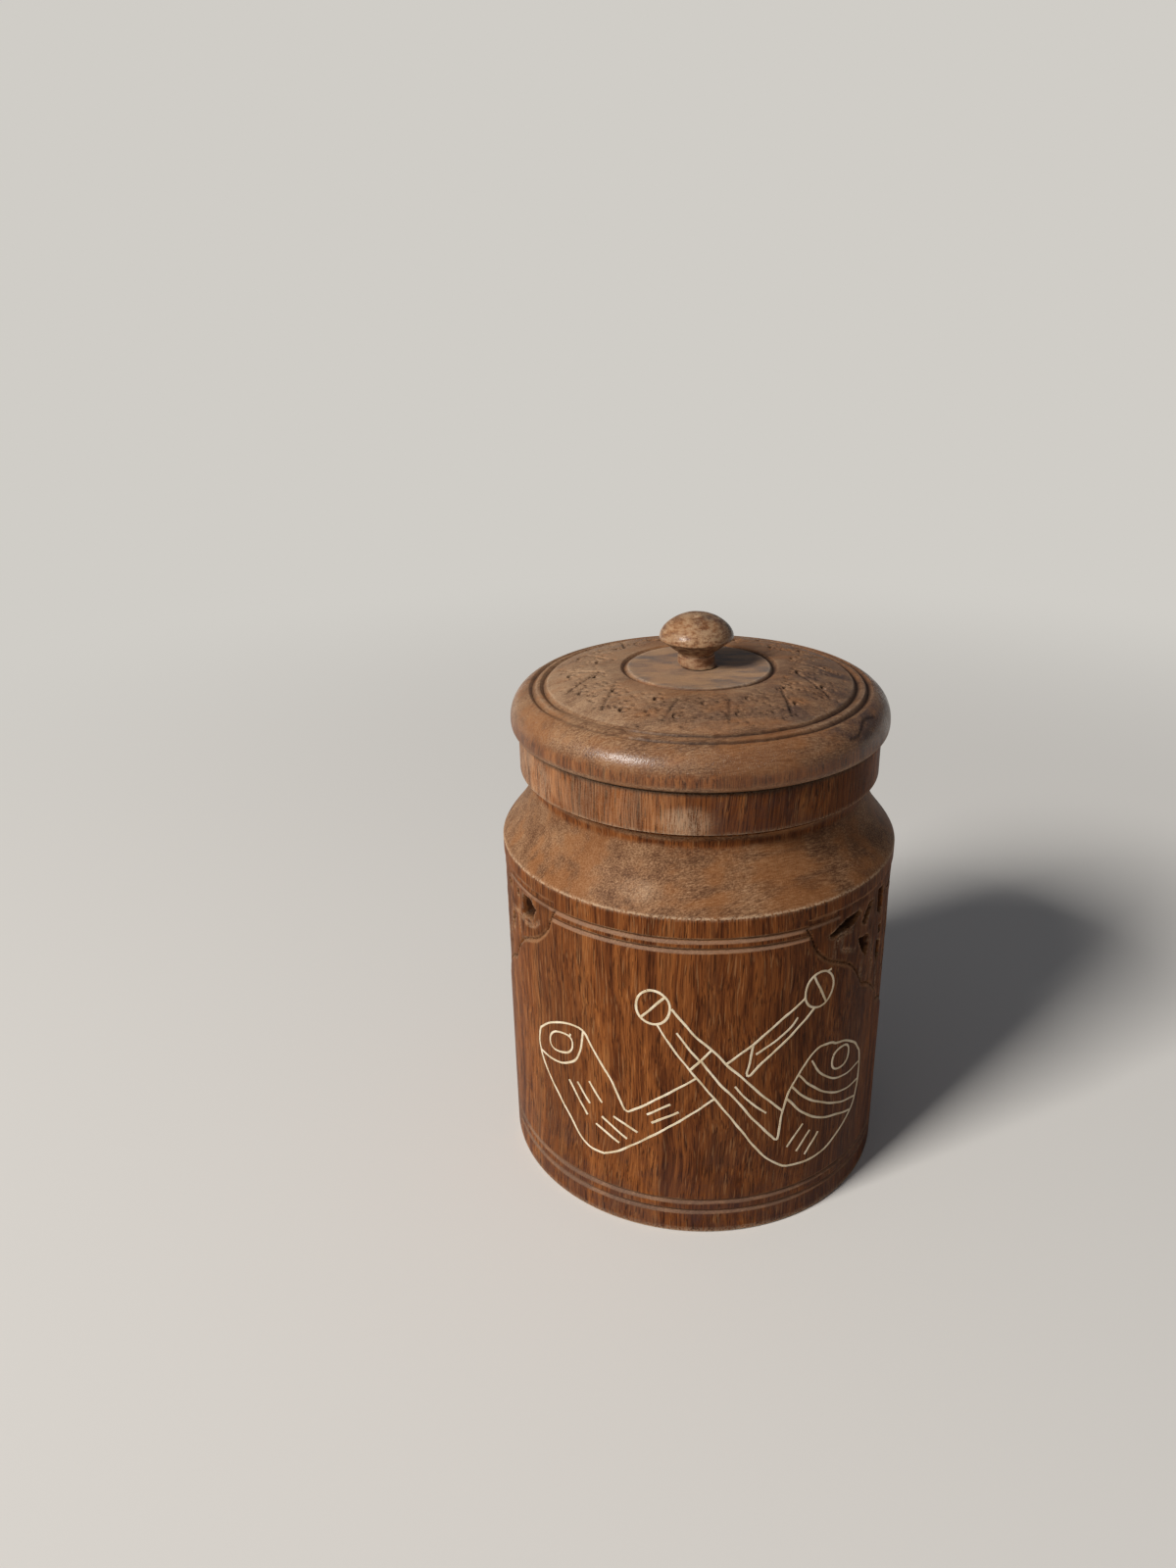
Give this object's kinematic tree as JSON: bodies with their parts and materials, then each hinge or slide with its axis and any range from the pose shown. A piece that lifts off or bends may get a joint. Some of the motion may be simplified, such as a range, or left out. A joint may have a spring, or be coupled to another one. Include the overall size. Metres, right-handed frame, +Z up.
{
  "type": "tobacco jar",
  "caption": "Round turned wooden tobacco jar with a collared mouth, lift-off lid with a small knob, and crossed pipes inlaid in pale strips on its wall.",
  "frame": {"origin": "middle of the jar's foot, on the surface that it stands on", "axes": "+Z up along the jar's turned axis; -Y out of the wall between the two pipes, at the drawing's front"},
  "size_m": [0.124, 0.124, 0.1814],
  "materials": {
    "jar_wood": "waxed hardwood, brown with dark upright streaks, satin",
    "lid_wood": "waxed hardwood, tan end grain, satin",
    "knob_wood": "waxed hardwood, tan, satin",
    "inlay": "cream strip of bone or plastic, sanded flush"
  },
  "bodies": {
    "jar": {"jar": "jar_wood", "inlay_left_pipe_bowl_rim_far": "inlay", "inlay_left_pipe_bowl_rim_near": "inlay", "inlay_left_pipe_bowl_hole": "inlay", "inlay_left_pipe_bowl_outer_side": "inlay", "inlay_left_pipe_bowl_inner_side": "inlay", "inlay_left_pipe_shank_underside": "inlay", "inlay_left_pipe_shank_top": "inlay", "inlay_left_pipe_stem_top": "inlay", "inlay_left_pipe_stem_underside": "inlay", "inlay_left_pipe_stem_end": "inlay", "inlay_left_pipe_stem_line": "inlay", "inlay_left_pipe_bowl_dash_1": "inlay", "inlay_left_pipe_bowl_dash_2": "inlay", "inlay_left_pipe_bowl_dash_3": "inlay", "inlay_left_pipe_heel_dash_1": "inlay", "inlay_left_pipe_heel_dash_2": "inlay", "inlay_left_pipe_heel_dash_3": "inlay", "inlay_left_pipe_shank_dash_1": "inlay", "inlay_left_pipe_shank_dash_2": "inlay", "inlay_left_pipe_mouthpiece": "inlay", "inlay_left_pipe_mouthpiece_bar": "inlay", "inlay_right_pipe_stem_top": "inlay", "inlay_right_pipe_stem_underside": "inlay", "inlay_right_pipe_stem_line": "inlay", "inlay_right_pipe_stem_band": "inlay", "inlay_right_pipe_shank_line": "inlay", "inlay_right_pipe_shank_dash": "inlay", "inlay_right_pipe_bowl_inner_side": "inlay", "inlay_right_pipe_bowl_rim_far": "inlay", "inlay_right_pipe_bowl_outer_side": "inlay", "inlay_right_pipe_bowl_hole": "inlay", "inlay_right_pipe_bowl_arc_1": "inlay", "inlay_right_pipe_bowl_arc_2": "inlay", "inlay_right_pipe_bowl_arc_3": "inlay", "inlay_right_pipe_bowl_arc_4": "inlay", "inlay_right_pipe_heel_dash_1": "inlay", "inlay_right_pipe_heel_dash_2": "inlay", "inlay_right_pipe_heel_dash_3": "inlay", "inlay_right_pipe_mouthpiece": "inlay", "inlay_right_pipe_mouthpiece_bar": "inlay"},
    "lid": {"lid": "lid_wood", "knob": "knob_wood"}
  },
  "joints": [
    {"name": "lid_lift", "type": "slide", "parent": "jar", "child": "lid", "axis": [0, 0, 1], "range_m": [0, 0.08]}
  ]
}
